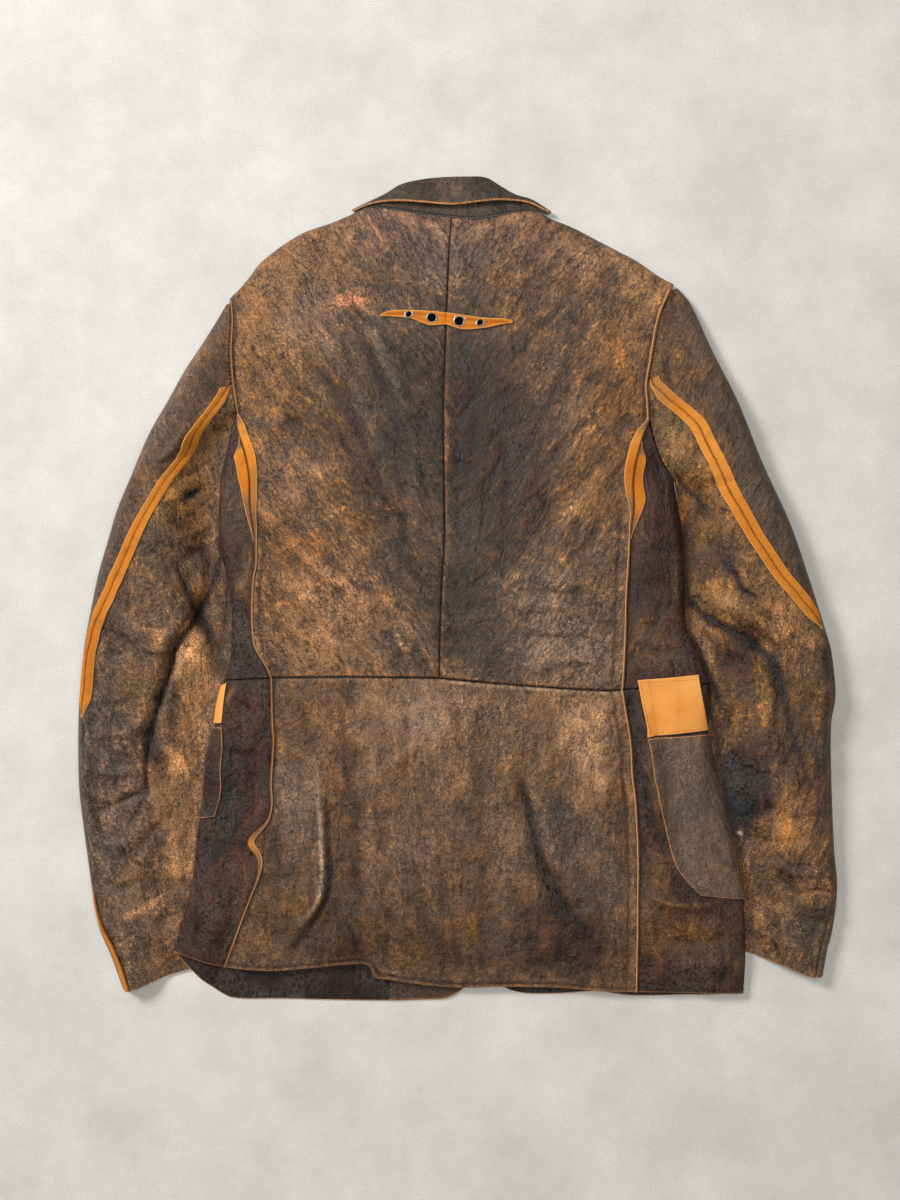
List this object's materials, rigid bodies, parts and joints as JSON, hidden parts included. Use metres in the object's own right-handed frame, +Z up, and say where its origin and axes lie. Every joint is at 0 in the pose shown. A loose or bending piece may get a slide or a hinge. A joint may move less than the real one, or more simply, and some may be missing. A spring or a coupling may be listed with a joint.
{
  "type": "worn leather coat",
  "caption": "Worn brown leather tailored jacket laid on its front, sleeves along its sides, with raw orange suede seam edges, patch pockets and an eyelet welt across the back.",
  "frame": {"origin": "middle of the outline on the floor that the coat lies on", "axes": "+X to the wearer's right, +Y from hem to neck, +Z up from the floor, out of the coat's back"},
  "size_m": [0.7296, 0.7936, 0.0264],
  "materials": {
    "brown_leather": "worn, crackled, satin",
    "collar_leather": "grey brown, rubbed",
    "pocket_leather": "greyed, rubbed",
    "raw_suede": "raw orange suede, matt",
    "eyelet_metal": "nickel, slightly worn"
  },
  "bodies": {
    "root": {"allowance_left_back": "raw_suede", "allowance_left_side": "raw_suede", "allowance_right_back": "raw_suede", "allowance_right_side": "raw_suede", "allowance_skirt_left": "raw_suede", "allowance_skirt_right": "raw_suede", "eyelet_band_left": "raw_suede", "eyelet_band_right": "raw_suede", "pocket_tab_left": "raw_suede", "pocket_tab_right": "raw_suede", "sleeve_left_allowance_cuff": "raw_suede", "sleeve_left_allowance_inner": "raw_suede", "sleeve_left_allowance_outer": "raw_suede", "sleeve_right_allowance_inner": "raw_suede", "sleeve_right_allowance_outer": "raw_suede", "back_left": "brown_leather", "back_right": "brown_leather", "back_skirt": "brown_leather", "front_facing_left": "brown_leather", "front_left": "brown_leather", "front_right": "brown_leather", "side_left_lower": "brown_leather", "side_left_upper": "brown_leather", "side_right_lower": "brown_leather", "side_right_upper": "brown_leather", "sleeve_left_top": "brown_leather", "sleeve_left_under": "brown_leather", "sleeve_right_top": "brown_leather", "sleeve_right_under": "brown_leather", "collar_fall": "collar_leather", "collar_stand": "collar_leather", "pocket_left": "pocket_leather", "pocket_right": "pocket_leather", "eyelet_1": "eyelet_metal", "eyelet_2": "eyelet_metal", "eyelet_3": "eyelet_metal", "eyelet_4": "eyelet_metal"}
  },
  "joints": []
}
